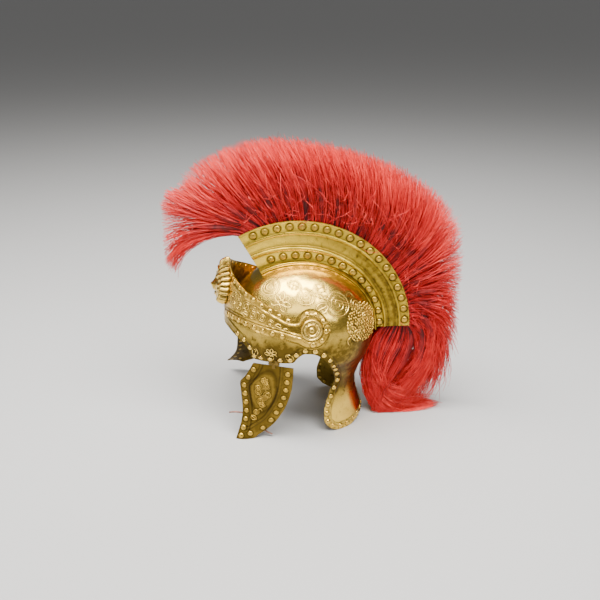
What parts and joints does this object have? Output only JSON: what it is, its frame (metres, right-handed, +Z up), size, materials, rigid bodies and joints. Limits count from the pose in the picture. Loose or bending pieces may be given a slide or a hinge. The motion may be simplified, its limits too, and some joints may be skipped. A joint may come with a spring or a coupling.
{
  "type": "roman legionary helmet",
  "caption": "Embossed sheet-brass helmet with a brow plate and mask, a flared neck guard, hinged cheek guards, and a hair crest held in a channel over the bowl.",
  "frame": {"origin": "middle of the base of the whole helmet's box, on the surface that it stands on", "axes": "-X is the way the helmet faces, +Y is the wearer's right, +Z is up"},
  "size_m": [0.4456, 0.2416, 0.45],
  "materials": {
    "brass": "polished, worn and browned in the hollows",
    "dark_brass": "tarnished",
    "red_hair": "glossy dyed hair",
    "leather": "soft, matte"
  },
  "bodies": {
    "helmet": {"skull_bowl": "brass", "brow_plate": "brass", "lion_mask": "brass", "ear_boss_left": "brass", "ear_boss_right": "brass", "crest_holder": "brass", "plume": "red_hair", "hinge_pin_left": "dark_brass", "hinge_pin_right": "dark_brass", "hinge_strap_front_left": "dark_brass", "hinge_strap_front_right": "dark_brass", "hinge_strap_rear_left": "dark_brass", "hinge_strap_rear_right": "dark_brass"},
    "cheek_left": {"cheek_guard_left": "brass", "hinge_strap_guard_left": "dark_brass", "tie_knot": "leather", "chin_tie_upper": "leather", "chin_tie_lower": "leather"},
    "cheek_right": {"cheek_guard_right": "brass", "hinge_strap_guard_right": "dark_brass"}
  },
  "joints": [
    {"name": "cheek_left_hinge", "type": "hinge", "parent": "helmet", "child": "cheek_left", "pos_m": [-0.07326, -0.10384, 0.128], "axis": [-0.9397, 0.342, 0], "range_deg": [-20, 90]},
    {"name": "cheek_right_hinge", "type": "hinge", "parent": "helmet", "child": "cheek_right", "pos_m": [-0.07326, 0.06667, 0.128], "axis": [0.9397, 0.342, 0], "range_deg": [-46, 64]}
  ]
}
